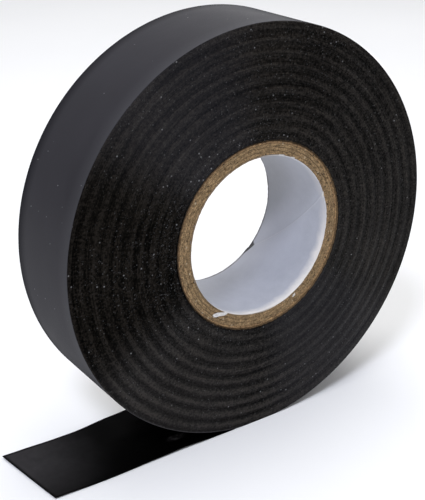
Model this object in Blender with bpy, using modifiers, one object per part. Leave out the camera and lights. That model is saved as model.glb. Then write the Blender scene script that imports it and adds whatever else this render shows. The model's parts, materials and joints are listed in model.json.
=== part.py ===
"""Roll of black PVC electrical tape standing on its rim, with its free end pulled out along the floor.

Frame: +Z up, the roll's axis along Y. The origin is on the floor, under the roll's centre at mid width.
The free end leaves the roll at the bottom and runs towards -X, adhesive side up. Metres throughout.
"""

import math

import bpy

OBJECT_NAME = "electrical_tape_roll"

# Tape: a PVC film with its adhesive, wound adhesive side in
TAPE_WIDTH = 0.0190
TAPE_THICKNESS = 0.00013
ROLL_RADIUS = 0.0404
REST_FLAT = 0.00025  # how far the soft windings settle where the roll stands
ROLL_CENTRE_Z = ROLL_RADIUS - REST_FLAT

# Core: a spiral-wound paper tube, from the bore outwards
BORE_RADIUS = 0.01566
LINER_WALL = 0.00024
BOARD_WALL = 0.00069
BOARD_PLIES = 3
WRAP_WALL = 0.00045
GLUE_LINE = 0.00003
CORE_LENGTH = 0.0189

# Free end: where it starts and where the film bends, as distances from the origin towards -X
LIFT_OFF = 0.0060
BENDS = (0.0121, 0.0230, 0.0340)
BEND_GAP = 0.0002
CUT_FRONT = 0.0449
CUT_BACK = 0.0475

# The film necks in where it was pulled to cut it: (distance, front edge y, back edge y)
TAIL_EDGES = (
    (0.0000, -0.00950, 0.00950),
    (0.0230, -0.00942, 0.00855),
    (0.0340, -0.00955, 0.00785),
    (0.0475, -0.00925, 0.00795),
)

ROUND_STEPS = 96
MERGE = 0.00001


def clear_scene():
    for item in list(bpy.data.objects):
        bpy.data.objects.remove(item)


def new_collection(name):
    made = bpy.data.collections.new(name)
    bpy.context.scene.collection.children.link(made)
    return made


def material(name, colour, roughness, metallic=0.0):
    made = bpy.data.materials.new(name)
    made.use_nodes = True
    shader = made.node_tree.nodes["Principled BSDF"]
    shader.inputs["Base Color"].default_value = (*colour, 1.0)
    shader.inputs["Roughness"].default_value = roughness
    shader.inputs["Metallic"].default_value = metallic
    return made


def tube(name, inner, outer, length, look, home):
    """A ring about the roll's axis: a rectangle beside the axis, turned once round it."""
    half = length / 2
    profile = ((outer, half), (outer, -half), (inner, -half), (inner, half))
    mesh = bpy.data.meshes.new(name)
    edges = [(i, (i + 1) % len(profile)) for i in range(len(profile))]
    mesh.from_pydata([(radius, 0.0, along) for radius, along in profile], edges, [])
    ring = bpy.data.objects.new(name, mesh)
    home.objects.link(ring)
    ring.location = (0.0, 0.0, ROLL_CENTRE_Z)
    ring.rotation_euler = (math.radians(90), 0.0, 0.0)
    turn = ring.modifiers.new("turn", "SCREW")
    turn.axis = "Z"
    turn.angle = math.radians(360)
    turn.steps = ROUND_STEPS
    turn.render_steps = ROUND_STEPS
    turn.use_merge_vertices = True
    turn.merge_threshold = MERGE
    turn.use_smooth_shade = True
    mesh.materials.append(look)
    return ring


def edge_at(distance, side):
    """The film's edge at a distance along the free end; side 1 is the front edge and 2 the back."""
    for near, far in zip(TAIL_EDGES, TAIL_EDGES[1:]):
        if distance <= far[0]:
            share = (distance - near[0]) / (far[0] - near[0])
            return near[side] + share * (far[side] - near[side])
    return TAIL_EDGES[-1][side]


def strip(name, start, end_front, end_back, parent, look, home):
    """A flat length of the tape from start to its end, hung on the empty at its own bend."""
    corners = (
        (start, edge_at(start, 1)),
        (end_front, edge_at(end_front, 1)),
        (end_back, edge_at(end_back, 2)),
        (start, edge_at(start, 2)),
    )
    outline = bpy.data.curves.new(name, "CURVE")
    outline.dimensions = "2D"
    outline.fill_mode = "BOTH"
    outline.extrude = TAPE_THICKNESS / 2
    line = outline.splines.new("POLY")
    line.points.add(len(corners) - 1)
    for point, (distance, y) in zip(line.points, corners):
        point.co = (-distance - parent.location.x, y, 0.0, 1.0)
    line.use_cyclic_u = True
    piece = bpy.data.objects.new(name, outline)
    home.objects.link(piece)
    piece.parent = parent
    piece.location.z = TAPE_THICKNESS / 2 - parent.location.z
    outline.materials.append(look)
    return piece


def axis_empty(name, x, z, home):
    made = bpy.data.objects.new(name, None)
    made.empty_display_size = 0.01
    made.location = (x, 0.0, z)
    home.objects.link(made)
    return made


def stand_flat(windings, cutters):
    """Cuts the windings level at the floor, where the roll rests on its rim."""
    depth = 0.004
    bpy.ops.mesh.primitive_cube_add(size=1.0, location=(0.0, 0.0, -depth / 2))
    block = bpy.context.active_object
    block.name = "floor_cutter"
    block.scale = (ROLL_RADIUS, 2 * TAPE_WIDTH, depth)
    for holder in list(block.users_collection):
        holder.objects.unlink(block)
    cutters.objects.link(block)
    block.hide_render = True
    block.display_type = "WIRE"
    cut = windings.modifiers.new("rest_flat", "BOOLEAN")
    cut.operation = "DIFFERENCE"
    cut.solver = "EXACT"
    cut.object = block


def build_core(home):
    white = material("white_paper", (0.78, 0.79, 0.80), 0.62)
    board = material("chipboard", (0.33, 0.25, 0.15), 0.88)
    kraft = material("kraft_paper", (0.42, 0.28, 0.14), 0.80)
    inner = BORE_RADIUS
    outer = inner + LINER_WALL
    tube("core_liner", inner, outer, CORE_LENGTH, white, home)
    for number in range(1, BOARD_PLIES + 1):
        inner = outer + GLUE_LINE
        outer = inner + BOARD_WALL
        tube(f"core_board_ply_{number}", inner, outer, CORE_LENGTH, board, home)
    inner = outer + GLUE_LINE
    outer = inner + WRAP_WALL
    tube("core_outer_wrap", inner, outer, CORE_LENGTH, kraft, home)
    return outer


def build_tape(core_radius, home, cutters):
    film = material("pvc_film", (0.026, 0.025, 0.030), 0.42)
    windings = tube("tape_windings", core_radius + GLUE_LINE, ROLL_RADIUS, TAPE_WIDTH, film, home)
    stand_flat(windings, cutters)
    half_gap = BEND_GAP / 2
    starts = (LIFT_OFF, *(bend + half_gap for bend in BENDS))
    ends = [(bend - half_gap, bend - half_gap) for bend in BENDS]
    ends.append((CUT_FRONT, CUT_BACK))
    names = ("tape_lead", "tape_tail_inner", "tape_tail_middle", "tape_tail_end")
    hinge_z = TAPE_THICKNESS / 2
    parents = [axis_empty("unwind_axis", 0.0, ROLL_CENTRE_Z, home)]
    parents += [axis_empty(f"bend_axis_{i + 1}", -bend, hinge_z, home) for i, bend in enumerate(BENDS)]
    for name, start, (front, back), parent in zip(names, starts, ends, parents):
        strip(name, start, front, back, parent, film, home)


clear_scene()
parts = new_collection(OBJECT_NAME)
cutters = new_collection("cutters")
build_tape(build_core(parts), parts, cutters)
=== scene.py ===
import json
import math

import bpy
import numpy as np
from mathutils import Matrix, Vector


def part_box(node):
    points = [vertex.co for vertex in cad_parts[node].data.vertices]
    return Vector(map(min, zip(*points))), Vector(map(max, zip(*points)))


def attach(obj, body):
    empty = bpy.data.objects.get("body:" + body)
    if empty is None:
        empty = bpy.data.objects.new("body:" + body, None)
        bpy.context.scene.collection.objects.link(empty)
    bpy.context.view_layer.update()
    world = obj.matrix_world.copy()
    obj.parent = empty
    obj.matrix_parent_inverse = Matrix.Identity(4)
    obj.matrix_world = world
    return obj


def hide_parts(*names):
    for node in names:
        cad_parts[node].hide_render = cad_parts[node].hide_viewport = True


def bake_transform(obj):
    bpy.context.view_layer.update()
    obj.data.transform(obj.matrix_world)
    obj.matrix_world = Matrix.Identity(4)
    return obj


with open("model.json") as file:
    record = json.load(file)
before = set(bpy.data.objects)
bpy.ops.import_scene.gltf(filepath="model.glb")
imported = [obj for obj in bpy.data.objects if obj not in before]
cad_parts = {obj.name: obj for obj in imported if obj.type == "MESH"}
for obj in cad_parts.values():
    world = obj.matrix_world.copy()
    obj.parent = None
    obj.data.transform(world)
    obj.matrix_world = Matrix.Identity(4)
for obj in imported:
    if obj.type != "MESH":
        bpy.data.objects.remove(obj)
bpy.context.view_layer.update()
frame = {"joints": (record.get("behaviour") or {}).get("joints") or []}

MM = 0.001
TO_MM = 1000.0
SEED = 19


def reach(node):
    """How far a CAD node goes from its own middle along X, Y and Z, in millimetres."""
    low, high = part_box(node)
    return tuple(round((b - a) / 2 / MM, 3) for a, b in zip(low, high))


# The roll and its core, in millimetres. Their axis runs along Y through (0, 0, CENTRE_Z).
JOINT_AT = {joint["name"]: joint["pos_m"] for joint in frame["joints"]}
CENTRE_Z = round(JOINT_AT["unwind"][2] / MM, 3)
ROLL_R, HALF_WIDTH, _ = reach("tape_windings")
LINER_R, CORE_HALF, _ = reach("core_liner")
BOARD_R = [reach(f"core_board_ply_{k + 1}")[0] for k in range(3)]
WRAP_R = reach("core_outer_wrap")[0]
LINER_WALL = 0.24
BOARD_WALL = 0.69
WRAP_WALL = 0.45
GLUE_LINE = 0.03
BORE_R = LINER_R - LINER_WALL
WINDING_BORE = WRAP_R + GLUE_LINE
RIM_R = ROLL_R - 0.02
TURN = 0.13

# The side face's shallow ridges: one slow spiral of bands
BAND_PITCH = 2.33
BAND_R = 25.75
SPIRAL_FROM = 0.30
SPIRAL_SHARE = 0.64

# The lining's lapped seam: degrees at the front end, and degrees gained per millimetre towards the back
SEAM_START = 20.5
SEAM_SLOPE = -3.6

# Lint is thickest on this side of the line between core and windings
LINT_TOWARDS = 330.0
LINT_DRIFT = 0.14

# The free end: all distances are in millimetres from the origin towards -X
TAPE_T = 0.13
TAIL_START = 1.2
BENDS = [round(-JOINT_AT[name][0] / MM, 3) for name in ("peel_bend", "tail_bend_middle", "tail_bend_end")]
SPLITS = (7.0, 17.5, 28.5)
END_FRONT, END_BACK = 45.0, 47.5
ROW_LENGTH = 0.25
# (distance, Y) along its two edges, and (distance, height) where it lifts off the floor and off the roll
FRONT_EDGE = (
    (0.0, -9.2), (5.2, -9.3), (6.4, -9.48), (14.0, -9.46), (23.0, -9.42), (34.0, -9.55), (47.5, -9.25),
)
BACK_EDGE = ((0.0, 9.2), (5.2, 9.3), (6.4, 9.48), (14.0, 9.1), (23.0, 8.55), (34.0, 7.85), (47.5, 7.95))
LIFT = (
    (0.0, 0.0), (5.4, 0.04), (11.0, 0.12), (17.0, 0.38), (24.5, 0.14),
    (32.0, 0.0), (37.0, 0.02), (44.0, 0.18), (47.6, 0.26),
)
NIP = ((0.0, 0.62), (2.2, 0.34), (4.2, 0.05), (5.4, 0.0), (47.6, 0.0))

# The camera fitted to the photograph's outlines
CAMERA_LENS = 74.82
CAMERA_SENSOR = 36.0
CAMERA_SHIFT = (-0.0770, -0.0513)
CAMERA_PLACE = (-0.10872, -0.152784, 0.115609)
CAMERA_RIGHT = (0.80627, -0.591428, 0.011894)
CAMERA_UP = (0.213405, 0.309561, 0.926623)


# ---------------------------------------------------------------- numbers
def smooth(t):
    t = np.clip(t, 0.0, 1.0)
    return t * t * (3.0 - 2.0 * t)


class Noise:
    """Smooth value noise on a grid that wraps in its second direction."""

    def __init__(self, rng, rows, columns):
        self.grid = rng.uniform(-1.0, 1.0, (rows, columns))

    def __call__(self, u, v):
        """u from 0 to 1 down the rows, v in whole turns along the columns."""
        rows, columns = self.grid.shape
        a = np.clip(u, 0.0, 1.0) * (rows - 1.001)
        b = np.mod(v, 1.0) * columns
        i, j = a.astype(int), b.astype(int) % columns
        s, t = smooth(a - i), smooth(b - np.floor(b))
        i2, j2 = np.minimum(i + 1, rows - 1), (j + 1) % columns
        top = self.grid[i, j] * (1 - t) + self.grid[i, j2] * t
        low = self.grid[i2, j] * (1 - t) + self.grid[i2, j2] * t
        return top * (1 - s) + low * s


def through(points, at):
    """A smooth line through (distance, value) points, read at the distances asked for."""
    xs, ys = np.array(points).T
    k = np.clip(np.searchsorted(xs, at) - 1, 0, len(xs) - 2)
    t = smooth((at - xs[k]) / (xs[k + 1] - xs[k]))
    return ys[k] * (1 - t) + ys[k + 1] * t


def on_axis(r, angle, y):
    """Points in metres at a radius, an angle from +X towards +Z, and a place along the axis."""
    r, angle, y = np.broadcast_arrays(r, angle, y)
    return np.stack([r * np.cos(angle), y, CENTRE_Z + r * np.sin(angle)], axis=-1) * MM


# ---------------------------------------------------------------- meshes
def signed_volume(points, quads):
    """Six times the volume inside closed quads, negative when they face inwards."""
    halves = points[quads[:, :3]], points[quads[:, [0, 2, 3]]]
    return sum(np.einsum("ij,ij->i", t[:, 0], np.cross(t[:, 1], t[:, 2])).sum() for t in halves)


def mesh_object(name, points, faces, looks, sharp, face_looks=None):
    """A smooth-shaded mesh. An array of quads is turned to face outwards; a list of faces is kept as is."""
    listed = isinstance(faces, list)
    mesh = bpy.data.meshes.new(name)
    mesh.from_pydata(points.tolist(), [], faces if listed else faces.tolist())
    for look in looks:
        mesh.materials.append(look)
    if face_looks is not None:
        mesh.polygons.foreach_set("material_index", np.asarray(face_looks, np.int32))
    mesh.update()
    if not listed and signed_volume(points, faces) < 0:
        mesh.flip_normals()
    mesh.shade_smooth()
    mesh.set_sharp_from_angle(angle=math.radians(sharp))
    made = bpy.data.objects.new(name, mesh)
    bpy.context.scene.collection.objects.link(made)
    return made


def ring_object(name, points, looks, sharp, row_looks=None):
    """A ring from a grid of points: rows go round the section, columns round the axis."""
    rows, columns = points.shape[:2]
    i, j = np.arange(rows)[:, None], np.arange(columns)[None, :]
    i2, j2 = (i + 1) % rows, (j + 1) % columns
    corners = (i * columns + j, i * columns + j2, i2 * columns + j2, i2 * columns + j)
    quads = np.stack(np.broadcast_arrays(*corners), -1).reshape(-1, 4)
    face_looks = None if row_looks is None else np.repeat(row_looks, columns)
    return mesh_object(name, points.reshape(-1, 3), quads, looks, sharp, face_looks)


# ---------------------------------------------------------------- materials
class Nodes:
    """Short names for building a node tree. Angles are in degrees from +X towards +Z."""

    def __init__(self, tree):
        self.tree = tree

    def new(self, kind, **settings):
        node = self.tree.nodes.new(kind)
        for key, value in settings.items():
            setattr(node, key, value)
        return node

    def put(self, socket, value):
        if isinstance(value, bpy.types.NodeSocket):
            self.tree.links.new(value, socket)
        elif isinstance(value, bpy.types.Node):
            self.tree.links.new(value.outputs[0], socket)
        elif value is not None:
            socket.default_value = value

    def fill(self, node, *values):
        """Puts the values into the node's first inputs, and gives its first output."""
        for socket, value in zip(node.inputs, values):
            self.put(socket, value)
        return node.outputs[0]

    def math(self, operation, *values):
        return self.fill(self.new("ShaderNodeMath", operation=operation), *values)

    def fold(self, operation, values):
        total, *rest = values
        for value in rest:
            total = self.math(operation, total, value)
        return total

    def times(self, *values):
        return self.fold("MULTIPLY", values)

    def plus(self, *values):
        return self.fold("ADD", values)

    def minus(self, a, b):
        return self.math("SUBTRACT", a, b)

    def scaled(self, value, factor, offset):
        return self.math("MULTIPLY_ADD", value, factor, offset)

    def span(self, value, low, high, to_low=0.0, to_high=1.0):
        """A straight ramp between two numbers, level beyond them."""
        return self.fill(self.new("ShaderNodeMapRange"), value, low, high, to_low, to_high)

    def ease(self, value, low, high, to_low=0.0, to_high=1.0):
        """The same with soft ends."""
        node = self.new("ShaderNodeMapRange", interpolation_type="SMOOTHSTEP")
        return self.fill(node, value, low, high, to_low, to_high)

    def ramp(self, value, *stops):
        node = self.new("ShaderNodeValToRGB")
        band = node.color_ramp
        while len(band.elements) < len(stops):
            band.elements.new(0.5)
        for element, (place, colour) in zip(band.elements, stops):
            element.position = place
            element.color = (*colour, 1.0) if isinstance(colour, tuple) else (colour, colour, colour, 1.0)
        return self.fill(node, value)

    def mix(self, factor, a, b):
        """The colour a, painted over with b by the factor."""
        node = self.new("ShaderNodeMix", data_type="RGBA")
        b = (*b, 1.0) if isinstance(b, tuple) else b
        a = (*a, 1.0) if isinstance(a, tuple) else a
        for number, value in ((0, factor), (6, a), (7, b)):
            self.put(node.inputs[number], value)
        return node.outputs[2]

    def vector(self, x, y, z):
        return self.fill(self.new("ShaderNodeCombineXYZ"), x, y, z)

    def split(self, vector):
        node = self.new("ShaderNodeSeparateXYZ")
        self.put(node.inputs[0], vector)
        return node.outputs

    def place(self):
        return self.new("ShaderNodeTexCoord").outputs["Object"]

    def polar(self):
        """Radius, and the cosine and sine of the angle, about the roll's axis, and the place along it."""
        x, y, z = (self.math("MULTIPLY", output, TO_MM) for output in self.split(self.place()))
        z = self.minus(z, CENTRE_Z)
        radius = self.math("SQRT", self.plus(self.times(x, x), self.times(z, z)))
        return radius, self.math("DIVIDE", x, radius), self.math("DIVIDE", z, radius), y

    def towards(self, c, s, degrees):
        """1 in this direction about the roll's axis, and -1 in the opposite one."""
        a = math.radians(degrees)
        return self.scaled(c, math.cos(a), self.times(s, math.sin(a)))

    def noise(self, vector, scale, detail=3.0, rough=0.5):
        node = self.new("ShaderNodeTexNoise")
        for name, value in (("Vector", vector), ("Scale", scale), ("Detail", detail), ("Roughness", rough)):
            self.put(node.inputs[name], value)
        return node.outputs[0]

    def cells(self, vector, scale):
        """Small cells: the distance from each one's middle, and one number from 0 to 1 for each."""
        node = self.new("ShaderNodeTexVoronoi")
        self.put(node.inputs["Vector"], vector)
        self.put(node.inputs["Scale"], scale)
        number = self.fill(self.new("ShaderNodeSeparateColor"), node.outputs["Color"])
        return node.outputs["Distance"], number

    def bump(self, height, strength, distance, below=None):
        node = self.new("ShaderNodeBump")
        sockets = {"Height": height, "Strength": strength, "Distance": distance, "Normal": below}
        for name, value in sockets.items():
            self.put(node.inputs[name], value)
        return node.outputs[0]

    def ragged(self, radius, most):
        """The radius, roughened by up to this much either way."""
        bite = self.noise(self.place(), 1500.0, 2.0, 0.6)
        return self.plus(radius, self.span(bite, 0.3, 0.7, -most, most))


class Material(Nodes):
    """The node tree of a new material and its one shader."""

    def __init__(self, name):
        self.material = bpy.data.materials.new(name)
        self.material.use_nodes = True
        super().__init__(self.material.node_tree)
        self.shader = self.tree.nodes["Principled BSDF"]

    def finish(self, **sockets):
        for name, value in sockets.items():
            self.put(self.shader.inputs[name.replace("_", " ")], value)
        return self.material


def film_look():
    """The smooth back of the film: satin, almost black, scuffed paler along its front edge."""
    n = Material("pvc_film_satin")
    at = n.place()
    _, c, s, y = n.polar()
    cloud = n.noise(at, 90.0, 4.0, 0.55)
    grain = n.noise(at, 5200.0, 2.0, 0.6)
    colour = n.ramp(cloud, (0.35, (0.0205, 0.0195, 0.0240)), (0.68, (0.0250, 0.0240, 0.0290)))
    colour = n.mix(n.span(grain, 0.72, 0.86, 0.0, 0.18), colour, (0.14, 0.14, 0.15))
    colour = n.mix(n.span(y, -6.0, -9.4, 0.0, 0.16), colour, (0.11, 0.11, 0.12))
    # Painted shade: the film is darkened towards its far edge
    colour = n.mix(n.span(y, 6.6, 9.2, 0.0, 0.65), colour, (0.004, 0.004, 0.006))
    distance, number = n.cells(at, 1100.0)
    speck = n.times(n.span(distance, 0.06, 0.16, 1.0, 0.0), n.math("LESS_THAN", number, 0.05))
    colour = n.mix(n.times(speck, 0.8), colour, (0.30, 0.30, 0.31))
    rough = n.plus(n.span(cloud, 0.3, 0.7, 0.42, 0.48), n.span(grain, 0.3, 0.7, -0.03, 0.03))
    normal = n.bump(grain, 0.10, 0.00002)
    normal = n.bump(n.noise(at, 260.0, 3.0, 0.5), 0.10, 0.0002, normal)
    # The gloss falls off at a glancing angle, along the far edge and in three directions
    gloss = n.span(n.new("ShaderNodeLayerWeight").outputs["Facing"], 0.45, 0.97, 0.147, 0.0)
    gloss = n.times(gloss, n.span(y, 6.6, 9.2, 1.0, 0.30))
    for degrees, begin, least in ((186.0, 0.80, 0.54), (222.0, 0.93, 0.45), (64.0, 0.94, 0.62)):
        gloss = n.times(gloss, n.ease(n.towards(c, s, degrees), begin, 1.0, 1.0, least))
    return n.finish(Base_Color=colour, Roughness=rough, Normal=normal, Specular_IOR_Level=gloss)


def side_look():
    """The cut edges of the turns: rings a tape's thickness apart, dull, with specks of dust."""
    n = Material("winding_edges")
    radius, c, s, y = n.polar()

    def rings(per_mm, around, detail):
        wound = n.vector(n.times(radius, per_mm), n.times(c, around), n.times(s, around))
        return n.noise(wound, 1.0, detail, 0.6)

    turns = rings(1.0 / TURN, 1.6, 2.0)
    groups = rings(2.3, 2.2, 3.0)
    fuzz = n.noise(n.place(), 2600.0, 3.0, 0.75)
    patch = n.noise(n.place(), 60.0, 3.0, 0.5)

    # The same spiral of bands as in side_relief, seen from either side
    facing = n.math("SIGN", n.times(y, -1.0))
    turned = n.math("FRACT", n.math("DIVIDE", n.math("ARCTAN2", n.times(s, facing), c), 2 * math.pi))
    gained = n.ease(turned, SPIRAL_FROM, SPIRAL_FROM + SPIRAL_SHARE)
    band = n.minus(n.math("DIVIDE", n.minus(radius, BAND_R), BAND_PITCH), gained)
    crest = n.math("COSINE", n.times(band, 2 * math.pi))

    # Less contrast to the lower right and the upper left, and clearer ridges at the lower left
    lower_right = n.ease(n.towards(c, s, 318.0), 0.60, 1.0, 1.0, 0.60)
    upper_left = n.ease(n.towards(c, s, 118.0), 0.45, 1.0, 1.05, 0.72)
    calm = n.times(lower_right, upper_left)
    lower_left = n.ease(n.towards(c, s, 242.0), 0.62, 0.98, 0.0, 0.036)
    ridged = n.times(lower_left, n.ease(radius, 21.0, 31.0, 0.25, 1.0))
    tone = n.plus(n.times(turns, 0.24), n.times(groups, 0.14))
    tone = n.plus(tone, n.scaled(n.minus(fuzz, 0.5), n.times(calm, 0.60), 0.31))
    # The band crests are painted paler: partly their own colour, partly painted shading of the ridges, more
    # so at the lower left
    tone = n.plus(tone, n.times(crest, n.times(calm, n.plus(ridged, 0.034))))
    tone = n.plus(tone, n.span(patch, 0.3, 0.7, -0.03, 0.03))
    # Painted shade: darker towards the bore, next to the core
    tone = n.plus(tone, n.span(radius, WINDING_BORE + 0.1, WINDING_BORE + 0.7, -0.12, 0.0))
    tone = n.span(tone, 0.38, 0.62)

    # Painted shade: a darker sector on the left of the face, whose gloss is also dulled below
    left = n.ease(n.towards(c, s, 178.0), 0.72, 0.97)
    black, middle, pale = (0.0004, 0.0003, 0.0003), (0.0048, 0.0038, 0.0030), (0.0260, 0.0218, 0.0178)
    colour = n.ramp(tone, (0.05, black), (0.50, middle), (0.98, pale))
    # Painted sheen: a pale bluish band across the face, along the line from 122 to 302 degrees
    painted_sheen_wedge = n.math("ABSOLUTE", n.towards(c, s, 122.0))
    colour = n.mix(n.ease(painted_sheen_wedge, 0.84, 1.0, 0.0, 0.24), colour, (0.024, 0.024, 0.031))
    colour = n.mix(n.times(left, 0.42), colour, (0.0005, 0.0005, 0.0005))
    # Painted sheen: paler towards 236 degrees at the lower left, more so further out
    painted_sheen_lower_left = n.times(n.ease(n.towards(c, s, 236.0), 0.80, 1.0), n.span(radius, 20.0, 36.0, 0.10, 0.22))
    colour = n.mix(painted_sheen_lower_left, colour, (0.036, 0.033, 0.032))

    # Dust in three sizes, thickest by the core and in drifts
    drift = n.span(n.noise(n.place(), 75.0, 2.0, 0.5), 0.40, 0.62, 0.35, 1.5)
    for scale, share, bright in ((4600.0, 0.10, 0.050), (3300.0, 0.040, 0.10), (2300.0, 0.008, 0.24)):
        distance, number = n.cells(n.place(), scale)
        likely = n.times(n.span(radius, 18.6, 25.0, 2.4 * share, 0.8 * share), drift)
        picked = n.math("LESS_THAN", number, likely)
        speck = n.times(n.span(distance, 0.15, 0.45, 1.0, 0.0), picked)
        colour = n.mix(n.times(speck, 0.8), colour, (bright, bright, bright * 1.03))

    ragged = n.ragged(radius, 0.10)
    lint = n.minus(ragged, n.times(n.towards(c, s, LINT_TOWARDS), LINT_DRIFT))
    colour = n.mix(n.span(lint, 18.60, 18.80, 0.75, 0.0), colour, (0.16, 0.105, 0.055))
    # Painted highlight: a pale line along the lower rim of the face
    painted_rim_highlight = n.times(n.span(ragged, 40.12, 40.36), n.span(s, -0.45, -0.80, 0.0, 0.6))
    colour = n.mix(painted_rim_highlight, colour, (0.075, 0.072, 0.075))

    rough = n.plus(n.span(turns, 0.3, 0.7, 0.38, 0.50), n.span(fuzz, 0.3, 0.7, -0.05, 0.08))
    normal = n.bump(fuzz, 0.35, 0.00004, n.bump(turns, 0.5, 0.00003))
    dull = n.times(n.span(left, 0.0, 1.0, 1.0, 0.15), n.ease(n.towards(c, s, 72.0), 0.50, 1.0, 1.0, 0.66))
    gloss = n.times(n.span(tone, 0.0, 1.0, 0.03, 0.20), dull)
    tangent = n.new("ShaderNodeTangent", direction_type="RADIAL", axis="Y")
    n.finish(Tangent=tangent, Anisotropic=0.95)
    return n.finish(Base_Color=colour, Roughness=rough, Normal=normal, Specular_IOR_Level=gloss)


def board_look(name, tint, seed):
    """Grey-brown chipboard, cut across: short fibres that follow the ply, dark specks and pale ones."""
    n = Material(name)
    radius, c, s, y = n.polar()

    def fibres(across, along, detail):
        around = n.scaled(c, along, seed * 7.3)
        up = n.plus(n.times(s, along), n.times(y, 0.9))
        return n.noise(n.vector(n.times(radius, across), around, up), 1.0, detail, 0.7)

    tone = n.plus(n.times(fibres(4.2, 18.0, 4.0), 0.44), n.times(fibres(2.6, 62.0, 2.0), 0.32))
    tone = n.plus(tone, n.times(n.noise(n.place(), 3600.0, 2.0, 0.6), 0.24))
    dark = tuple(0.34 * x for x in tint)
    pale = tuple(min(1.0, 1.95 * x) for x in tint)
    colour = n.ramp(tone, (0.39, dark), (0.50, tint), (0.61, pale))
    distance, number = n.cells(n.place(), 1500.0)
    inside = n.span(distance, 0.18, 0.40, 1.0, 0.0)
    pits = n.times(inside, n.math("LESS_THAN", number, 0.08))
    flecks = n.times(inside, n.math("GREATER_THAN", number, 0.94))
    colour = n.mix(n.times(pits, 0.85), colour, (0.028, 0.020, 0.014))
    colour = n.mix(n.times(flecks, 0.6), colour, (0.50, 0.42, 0.30))
    # Painted shade: darker towards the outer rim, in the gap next to the windings
    rim = n.minus(n.ragged(radius, 0.12), n.times(n.towards(c, s, LINT_TOWARDS), LINT_DRIFT))
    colour = n.mix(n.span(rim, 18.30, 18.56, 0.0, 0.75), colour, (0.040, 0.024, 0.013))
    normal = n.bump(n.minus(tone, n.times(pits, 0.5)), 0.8, 0.00015)
    rough = n.span(tone, 0.3, 0.7, 0.95, 0.82)
    return n.finish(Base_Color=colour, Roughness=rough, Normal=normal, Specular_IOR_Level=0.25)


def paper_look():
    """Smooth white lining paper, faintly blue, with painted light along its front edge and by its seam,
    painted shade above the seam, and a near-black patch at the back of the seam.
    """
    n = Material("liner_paper_white")
    at = n.place()
    _, c, s, y = n.polar()
    cloud = n.noise(at, 420.0, 4.0, 0.6)
    fibre = n.noise(at, 3800.0, 3.0, 0.65)
    tone = n.plus(n.times(cloud, 0.6), n.times(fibre, 0.4))
    colour = n.ramp(tone, (0.34, (0.415, 0.427, 0.480)), (0.62, (0.465, 0.479, 0.530)))

    # Millimetres along the bore from the seam: greyer above it as painted shade, whiter below it at the far
    # end as painted light
    degrees = n.times(n.math("ARCTAN2", s, c), 180 / math.pi)
    seam = n.plus(n.times(y, SEAM_SLOPE), SEAM_START + SEAM_SLOPE * CORE_HALF)
    past = n.times(n.minus(degrees, seam), math.radians(BORE_R))
    deep = n.ease(y, -6.0, 6.0)
    above = n.times(n.ease(past, 3.0, 15.0), n.span(deep, 0.0, 1.0, 0.12, 0.50))
    painted_light_by_seam = n.times(n.ease(past, -13.0, -2.0), n.ease(past, 9.0, 2.0))
    colour = n.mix(above, colour, (0.22, 0.215, 0.215))
    colour = n.mix(n.times(painted_light_by_seam, n.times(deep, 0.50)), colour, (0.78, 0.80, 0.90))

    # Painted light: a pale band along the front edge, strongest on the lower half of the bore
    ragged_front = n.plus(y, n.span(cloud, 0.3, 0.7, -0.5, 0.5))
    painted_light_lip = n.times(n.span(ragged_front, -7.3, -9.0), n.ease(s, 0.30, -0.45, 0.35, 1.0))
    colour = n.mix(painted_light_lip, colour, (0.80, 0.765, 0.73))
    # Along the seam: a pale line, partly bare torn fibre and partly a painted highlight on the lap's edge,
    # then above it a painted shadow
    by_seam = n.span(past, -1.0, 1.0)
    torn_edge_and_highlight = n.ramp(by_seam, (0.30, 0.0), (0.45, 0.26), (0.52, 0.26), (0.57, 0.0))
    colour = n.mix(torn_edge_and_highlight, colour, (0.70, 0.70, 0.74))
    shade = n.ramp(by_seam, (0.52, 0.0), (0.58, 0.22), (0.70, 0.06), (0.95, 0.0))
    colour = n.mix(shade, colour, (0.26, 0.26, 0.30))

    # Bare board at the front end, darker along the back edge, and a near-black patch at the far end of the
    # seam
    bare = n.times(n.span(y, -9.22, -9.34), n.span(c, 0.25, -0.10))
    colour = n.mix(bare, colour, (0.215, 0.145, 0.075))
    colour = n.mix(n.span(y, 8.95, 9.30, 0.0, 0.85), colour, (0.060, 0.050, 0.042))
    gap = n.plus(y, n.span(n.math("ABSOLUTE", past), 0.0, 2.1, 1.25, 0.0))
    colour = n.mix(n.span(gap, 9.35, 9.55, 0.0, 0.9), colour, (0.016, 0.014, 0.013))
    rough = n.span(fibre, 0.3, 0.7, 0.50, 0.62)
    normal = n.bump(fibre, 0.25, 0.00004)
    return n.finish(Base_Color=colour, Roughness=rough, Normal=normal, Specular_IOR_Level=0.4)


def scrap_look():
    """Torn white paper fibre."""
    n = Material("torn_paper_white")
    fibre = n.noise(n.place(), 2600.0, 4.0, 0.7)
    colour = n.ramp(fibre, (0.35, (0.52, 0.505, 0.49)), (0.62, (0.76, 0.74, 0.72)))
    normal = n.bump(fibre, 0.4, 0.00006)
    return n.finish(Base_Color=colour, Roughness=0.85, Normal=normal, Specular_IOR_Level=0.2)


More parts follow.
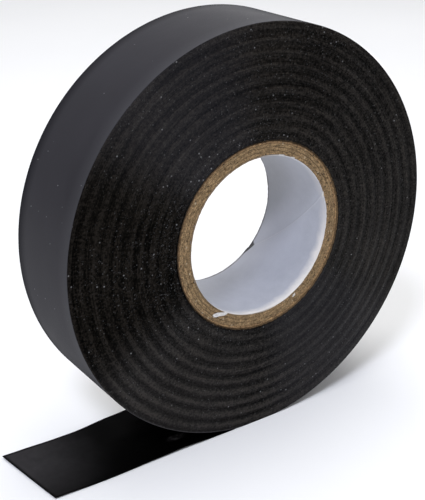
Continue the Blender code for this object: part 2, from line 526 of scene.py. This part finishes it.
def adhesive_look():
    """The sticky face: black in a painted shadow of the roll near it, with a grey painted sheen towards the
    free end.
    """
    n = Material("adhesive_gloss_black")
    at = n.place()
    x, y = (n.times(output, TO_MM) for output in n.split(at)[:2])
    streak = n.noise(n.vector(n.times(x, 0.06), n.times(y, 0.42), 0.0), 1.0, 3.0, 0.5)
    cloud = n.noise(at, 210.0, 4.0, 0.6)
    grain = n.noise(at, 3000.0, 2.0, 0.6)

    # Painted light: a grey sheen thickens along the strip towards its end, leaving a painted shadow of the
    # roll by the nip and along the front edge; it fades at the two edges and the slanting end
    along = n.plus(x, n.plus(n.times(y, -0.18), n.span(cloud, 0.3, 0.7, -1.2, 1.2)))
    painted_sheen_and_shadow = n.times(n.ease(along, -28.5, -47.0), n.span(y, -9.5, 0.0, 0.25, 1.0))
    end = n.minus(x, n.scaled(y, -0.144, -46.36))
    for distance, low, high in ((y, -9.28, -8.80), (y, 7.80, 7.25), (end, 0.12, 0.65)):
        painted_sheen_and_shadow = n.times(painted_sheen_and_shadow, n.span(distance, low, high))
    painted_sheen_and_shadow = n.times(painted_sheen_and_shadow, n.span(n.noise(at, 700.0, 3.0, 0.6), 0.3, 0.7, 0.88, 1.10))
    grey = n.ramp(cloud, (0.35, (0.0165, 0.0152, 0.0172)), (0.7, (0.0215, 0.0200, 0.0222)))
    colour = n.mix(painted_sheen_and_shadow, (0.0006, 0.0006, 0.0006), grey)

    # A painted highlight near the nip, an oval of 2.7 by 1.1 mm about (-17.3, -5.7)
    dx, dy = n.scaled(x, 1 / 2.7, 17.3 / 2.7), n.scaled(y, 1 / 1.1, 5.7 / 1.1)
    oval = n.ease(n.plus(n.times(dx, dx), n.times(dy, dy)), 0.1, 1.0, 1.0, 0.0)
    painted_glint = n.times(oval, n.ease(n.noise(at, 620.0, 3.0, 0.6), 0.36, 0.60, 0.15, 0.80))
    colour = n.mix(painted_glint, colour, (0.120, 0.112, 0.116))
    rough = n.plus(n.span(streak, 0.3, 0.7, 0.26, 0.34), n.times(painted_sheen_and_shadow, 0.06))
    normal = n.bump(grain, 0.08, 0.00003, n.bump(streak, 0.14, 0.0002))
    gloss = n.span(painted_sheen_and_shadow, 0.0, 1.0, 0.012, 0.08)
    return n.finish(Base_Color=colour, Roughness=rough, Normal=normal, Specular_IOR_Level=gloss)


FILM = film_look()
SIDE = side_look()
PAPER = paper_look()
SCRAP = scrap_look()
ADHESIVE = adhesive_look()
BOARDS = [board_look(f"core_chipboard_{k + 1}", (0.222, 0.148, 0.076), k) for k in range(3)]
WRAP = board_look("core_kraft_wrap", (0.240, 0.150, 0.074), 3)


# ---------------------------------------------------------------- the windings
def side_relief(rng, r, turns, flip):
    """How far the edges of the turns lie below the side face, in millimetres."""
    where = (r - WINDING_BORE) / (ROLL_R - WINDING_BORE)
    travel = (1.0 - turns) if flip else turns
    gained = smooth((np.mod(travel, 1.0) - SPIRAL_FROM) / SPIRAL_SHARE)
    phase = (r - BAND_R) / BAND_PITCH - gained
    crest = (0.5 + 0.5 * np.cos(2 * math.pi * phase)) ** 1.6
    depth = 0.075 * (1.0 - crest)
    for deep, rows, columns in ((0.016, 90, 7), (0.010, 90, 96), (0.020, 9, 5)):
        depth += deep * (1 + Noise(rng, rows, columns)(where, turns))
    return depth


def build_windings():
    rng = np.random.default_rng(SEED)
    columns = 400
    turns = np.arange(columns)[None, :] / columns
    rows, looks = [], []

    def add(r, y, look):
        rows.append((np.broadcast_to(r, (1, columns)), np.broadcast_to(y, (1, columns))))
        looks.append(look)

    swell = 0.020 * Noise(rng, 6, 9)(np.full((1, columns), 0.5), turns)
    wave = Noise(np.random.default_rng(SEED + 1), 7, 14)
    for y in np.linspace(HALF_WIDTH - 0.25, -HALF_WIDTH + 0.25, 24):
        u = np.full((1, columns), (y + HALF_WIDTH) / (2 * HALF_WIDTH))
        add(RIM_R + swell * 0.6 + 0.012 * wave(u, turns), y, 0)
    # Each corner steps in from the rim and down to the side face; each bore edge steps back the same way
    corner = ((0.0, 0.06), (0.01, 0.025), (0.03, 0.006), (0.07, 0.0))
    bore_edge = ((0.16, 0.06), (0.06, 0.18), (0.0, 0.45))
    face_r = np.linspace(ROLL_R - 0.2, WINDING_BORE + 0.30, 104)
    grid_r, grid_turns = np.broadcast_arrays(face_r[:, None], turns)
    for side in (-1, 1):
        relief = side_relief(np.random.default_rng(SEED + 5 + side), grid_r, grid_turns, side > 0)
        relief[0] *= 0.6
        run = [(RIM_R - back + swell * 0.6, side * (HALF_WIDTH - down), int(k > 1))
               for k, (back, down) in enumerate(corner)]
        run += [(r, side * (HALF_WIDTH - relief[k][None, :]), 1) for k, r in enumerate(face_r)]
        low = HALF_WIDTH - relief[-1][None, :]
        run += [(WINDING_BORE + out, side * (low - down), 1) for out, down in bore_edge]
        for r, y, look in run[::-side]:
            add(r, y, look)
        if side < 0:
            for y in (-6.0, 0.0, 6.0):
                add(WINDING_BORE, y, 1)
    r = np.concatenate([row[0] for row in rows])
    y = np.concatenate([row[1] for row in rows])
    points = on_axis(r, 2 * math.pi * turns, y)
    points[..., 2] = np.maximum(points[..., 2], 0.0)
    body = ring_object("tape_windings_detail", points, [FILM, SIDE], sharp=50.0, row_looks=looks)
    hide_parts("tape_windings")
    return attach(body, "roll")


# ---------------------------------------------------------------- the core
def core_ring(name, node, inner, outer, look, seed, joint_turns, ragged=0.05):
    """One ply of the core with its cut ends: rough, pitted, and open at the ply's own butt joint."""
    rng = np.random.default_rng(SEED + 40 + seed)
    columns = 640
    bevel, inset, wall_end = 0.015, 0.06, 0.35
    pit_deep, joint_deep = 0.22, 0.45
    turns = np.arange(columns)[None, :] / columns
    across = np.linspace(outer - bevel, inner + bevel, 6)
    wall_y = np.linspace(-CORE_HALF + wall_end, CORE_HALF - wall_end, 7)
    rough, coarse, pit = Noise(rng, 6, 420), Noise(rng, 3, 90), Noise(rng, 5, 210)
    rows = [(outer, y + 0 * turns) for y in -wall_y]
    for side in (-1, 1):
        ends = []
        for k, r in enumerate(across):
            u = np.full((1, columns), k / (len(across) - 1))
            v = turns + (0.31 if side > 0 else 0.0)
            depth = ragged * (0.5 + 0.5 * rough(u, v)) + ragged * (0.5 + 0.5 * coarse(u, v))
            depth = depth + pit_deep * smooth((pit(u, v) - 0.72) / 0.2)
            gap = np.abs(np.mod(turns - joint_turns + 0.5, 1.0) - 0.5) * 2 * math.pi * r
            depth = depth + joint_deep * (1 - smooth((gap - 0.05) / 0.12))
            if k in (0, len(across) - 1):
                depth = depth + 2 * bevel
            ends.append((r, side * (CORE_HALF - inset - depth)))
        rows += ends[::-side]
        if side < 0:
            rows += [(inner, y + 0 * turns) for y in wall_y]
    r = np.concatenate([np.full((1, columns), row[0]) for row in rows])
    y = np.concatenate([row[1] for row in rows])
    ring = ring_object(name, on_axis(r, 2 * math.pi * turns, y), [look], sharp=60.0)
    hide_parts(node)
    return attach(ring, "roll")


def build_liner():
    """White paper wound in a spiral: one lapped seam crosses the bore, and both edges are a little torn."""
    rng = np.random.default_rng(SEED + 60)
    # Columns crowd at the seam, where the lap lies on the next turn and thins out over lap_long millimetres
    at_seam = np.array([-0.0010, 0.0, 0.0010, 0.0024])
    around = np.sort(np.mod(np.concatenate([at_seam, np.linspace(0.004, 0.9955, 500)]), 1.0))
    arc = np.where(around > 0.5, around - 1.0, around) * 2 * math.pi * BORE_R
    lap_high, lap_long, lap_end = 0.10, 7.0, 0.22
    lap = np.where(arc <= 0, np.exp(arc / lap_long), 0.0) * lap_high
    lap = np.where((arc > 0) & (arc < lap_end), lap_high * (1 - arc / lap_end), lap)
    tear, fray = Noise(rng, 2, 170), Noise(rng, 2, 46)
    zero = np.zeros_like(around)

    def edge(side):
        turn = np.mod(around + (SEAM_START + SEAM_SLOPE * (side * CORE_HALF + CORE_HALF)) / 360.0, 1.0)
        cut = 0.05 * (1 + tear(zero, turn)) + 0.10 * smooth((fray(zero, turn) - 0.35) / 0.5)
        return CORE_HALF + 0.04 - cut

    front, back = -edge(-1), edge(1)
    share = (np.linspace(-1, 1, 34) + 1) / 2
    inside = [(BORE_R + lap_high - lap, front + (back - front) * t) for t in share]
    outside = [(LINER_R + zero, front + (back - front) * t) for t in share[::-1]]
    r = np.stack([row[0] for row in inside + outside])
    y = np.stack([row[1] for row in inside + outside])
    degrees = around[None, :] * 360.0 + SEAM_START + SEAM_SLOPE * (y + CORE_HALF)
    liner = ring_object("core_liner_detail", on_axis(r, np.radians(degrees), y), [PAPER], sharp=40.0)
    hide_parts("core_liner")
    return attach(liner, "roll")


def paper_flake(name, angle, r, length, width, turn, lift, seed):
    """A torn scrap of the lining paper, still hanging on the cut end of the core."""
    rng = np.random.default_rng(SEED + 80 + seed)
    count = 26
    way = np.arange(count) / count * 2 * math.pi
    ragged = 1 + 0.30 * Noise(rng, 2, 11)(np.zeros(count), way / (2 * math.pi))
    ragged = ragged + 0.12 * rng.uniform(-1, 1, count)
    u, v = length / 2 * np.cos(way) * ragged, width / 2 * np.sin(way) * ragged
    a = math.radians(angle)
    outwards, along = np.array((math.cos(a), 0, math.sin(a))), np.array((-math.sin(a), 0, math.cos(a)))
    c, s = math.cos(math.radians(turn)), math.sin(math.radians(turn))
    # Four loops: the rim and a smaller loop inside it, once for the lower face and once for the upper
    levels = []
    for thick in (0.0, 0.045):
        for scale in (1.0, 0.55):
            x, z = scale * (c * u - s * v), scale * (s * u + c * v)
            rise = lift * (1 - scale * np.clip(0.5 + x / length, 0, 1)) + 0.02 * rng.uniform(-1, 1, count)
            y = -(CORE_HALF - 0.02) - 0.02 * rise / lift - thick * 0.5
            spot = outwards[None] * (r + z)[:, None] + along[None] * x[:, None]
            levels.append(np.stack([spot[:, 0], y, CENTRE_Z + spot[:, 2]], -1))
    order = [levels[1], levels[0], levels[2], levels[3]]
    points = np.concatenate([*order, [levels[1].mean(0)], [levels[3].mean(0)]]) * MM
    faces = []
    for k in range(3 * count):
        k2 = k - k % count + (k + 1) % count  # the next point of the same loop
        faces.append((k, k2, k2 + count, k + count))
    for k in range(count):
        k2 = (k + 1) % count
        faces.append((k2, k, 4 * count))
        faces.append((3 * count + k, 3 * count + k2, 4 * count + 1))
    flake = mesh_object(name, points, faces, [SCRAP], sharp=30.0)
    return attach(flake, "roll")


def build_core():
    for k, joint_turns in enumerate((0.555, 0.33, 0.079)):
        name, node = f"core_board_detail_{k + 1}", f"core_board_ply_{k + 1}"
        inner, outer = BOARD_R[k] - BOARD_WALL, BOARD_R[k]
        core_ring(name, node, inner, outer, BOARDS[k], k, joint_turns)
    inner, outer = WRAP_R - WRAP_WALL, WRAP_R
    core_ring("core_wrap_detail", "core_outer_wrap", inner, outer, WRAP, 9, 0.71, 0.035)
    build_liner()
    paper_flake("liner_scrap_1", -125.0, 16.55, 3.0, 0.85, -28.0, 0.2, 1)
    paper_flake("liner_scrap_2", -60.2, 16.55, 0.75, 0.45, -20.0, 0.1, 2)
    paper_flake("liner_scrap_3", 20.3, 15.66, 1.2, 0.42, 15.0, 0.2, 3)
    paper_flake("liner_scrap_4", 74.0, 15.92, 1.6, 0.28, 4.0, 0.1, 4)
    paper_flake("liner_scrap_5", 64.0, 15.96, 0.8, 0.30, -8.0, 0.1, 5)


# ---------------------------------------------------------------- the free end
def strip_piece(name, start, end, slanted, rows):
    """A length of the free end as a closed strip, adhesive face up."""
    across = np.array([0.0, 0.006, 0.014, *np.linspace(0.05, 0.95, 13), 0.986, 0.994, 1.0])
    far_front, far_back = (END_FRONT, END_BACK) if slanted else (end, end)
    curl = (2 * across - 1) ** 2
    sections = []
    for t in np.linspace(0.0, 1.0, rows):
        distance = start + t * ((far_front - start) * (1 - across) + (far_back - start) * across)
        front, back = through(FRONT_EDGE, distance), through(BACK_EDGE, distance)
        y = front + (back - front) * across
        base = through(LIFT, distance) + through(NIP, distance) + 0.10 * curl * smooth((distance - 12) / 10)
        top = np.stack([-distance, y, base + TAPE_T], -1)
        low = np.stack([-distance, y, base], -1)
        sections.append(np.concatenate([top, low[::-1]]))
    points = np.stack(sections)
    count, loop = points.shape[:2]
    m = len(across)
    quads, looks = [], []
    for i in range(count - 1):
        for j in range(loop):
            j2 = (j + 1) % loop
            quads.append((i * loop + j, i * loop + j2, (i + 1) * loop + j2, (i + 1) * loop + j))
            looks.append(1 if m <= j < 2 * m - 1 else 0)
    for i, flip in ((0, False), (count - 1, True)):
        for j in range(m - 1):
            quad = (i * loop + j, i * loop + loop - 1 - j, i * loop + loop - 2 - j, i * loop + j + 1)
            quads.append(quad[::-1] if flip else quad)
            looks.append(0)
    points = points.reshape(-1, 3) * MM
    piece = mesh_object(name, points, np.array(quads), [ADHESIVE, FILM], sharp=40.0, face_looks=looks)
    return piece


def build_tail():
    def at(distance):
        return (-distance * MM, 0.0, 0.0)

    lead = strip_piece("free_end_lift_off", TAIL_START, SPLITS[0], False, 24)
    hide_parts("tape_lead")
    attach(lead, "lead")
    chain = (
        ("free_end_first_bend", "lead", "tail_inner", "tape_tail_inner"),
        ("free_end_second_bend", "tail_inner", "tail_middle", "tape_tail_middle"),
        ("free_end_third_bend", "tail_middle", "tail_end", "tape_tail_end"),
    )
    for (name, near, far, node), bend, start, end in zip(chain, BENDS, SPLITS, (*SPLITS[1:], END_BACK)):
        slanted = end == END_BACK
        length = end - start
        piece = strip_piece(name, start, end, slanted, round(length / ROW_LENGTH))
        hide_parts(node)
        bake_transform(piece)


# ---------------------------------------------------------------- studio
def build_floor():
    floor = bpy.data.meshes.new("floor")
    floor.from_pydata([(-4, -4, 0), (4, -4, 0), (4, 4, 0), (-4, 4, 0)], [], [(0, 1, 2, 3)])
    n = Material("floor_white")
    cloud = n.noise(n.place(), 6.0, 3.0, 0.5)
    colour = n.ramp(cloud, (0.3, (0.88, 0.88, 0.88)), (0.7, (0.91, 0.91, 0.91)))
    rough = n.span(cloud, 0.3, 0.7, 0.85, 0.95)
    floor.materials.append(n.finish(Base_Color=colour, Roughness=rough, Specular_IOR_Level=0.2))
    plane = bpy.data.objects.new("floor", floor)
    plane.location.z = -0.00002
    bpy.context.scene.collection.objects.link(plane)


def build_sky():
    """Even white light, stronger from the front and from above, with a glow low down at the back right."""
    world = bpy.data.worlds.new("studio")
    bpy.context.scene.world = world
    world.use_nodes = True
    sky = Nodes(world.node_tree)
    x, y, z = sky.split(sky.new("ShaderNodeTexCoord").outputs["Generated"])
    front = sky.span(y, -0.6, 0.7, 0.42, 0.24)
    above = sky.span(z, 0.60, 1.0, 0.0, 0.20)
    glow = sky.times(sky.span(z, 0.15, 0.65, 1.75, 0.0), sky.span(x, -0.5, 0.3), sky.span(y, 0.2, 0.7))
    shade = sky.tree.nodes["Background"]
    sky.fill(shade, (0.98, 0.98, 1.0, 1.0), sky.plus(front, above, glow))


def softbox(name, place, size, power, colour=(1.0, 1.0, 1.0)):
    """A square lamp that faces the roll."""
    data = bpy.data.lights.new(name, "AREA")
    data.shape = "RECTANGLE"
    data.size = data.size_y = size
    data.energy = power
    data.color = colour
    lamp = bpy.data.objects.new(name, data)
    lamp.location = place
    lamp.rotation_euler = (Vector((0.0, 0.0, 0.03)) - Vector(place)).to_track_quat("-Z", "Y").to_euler()
    bpy.context.scene.collection.objects.link(lamp)


def build_camera():
    data = bpy.data.cameras.new("camera")
    data.sensor_fit = "AUTO"
    data.sensor_width = CAMERA_SENSOR
    data.lens = CAMERA_LENS
    data.shift_x, data.shift_y = CAMERA_SHIFT
    data.clip_start, data.clip_end = 0.01, 20.0
    right = Vector(CAMERA_RIGHT)
    back = right.cross(Vector(CAMERA_UP)).normalized()
    up = back.cross(right).normalized()
    camera = bpy.data.objects.new("camera", data)
    camera.matrix_world = Matrix((right, up, back)).transposed().to_4x4()
    camera.location = CAMERA_PLACE
    bpy.context.scene.collection.objects.link(camera)
    bpy.context.scene.camera = camera


bpy.context.scene.view_settings.view_transform = "Standard"
build_camera()
build_floor()
build_sky()
softbox("overhead", (0.12, 0.08, 0.75), 0.60, 3.7)
softbox("left", (-0.36, -0.28, 0.62), 0.16, 2.8, (0.83, 0.87, 1.0))
build_windings()
build_core()
build_tail()
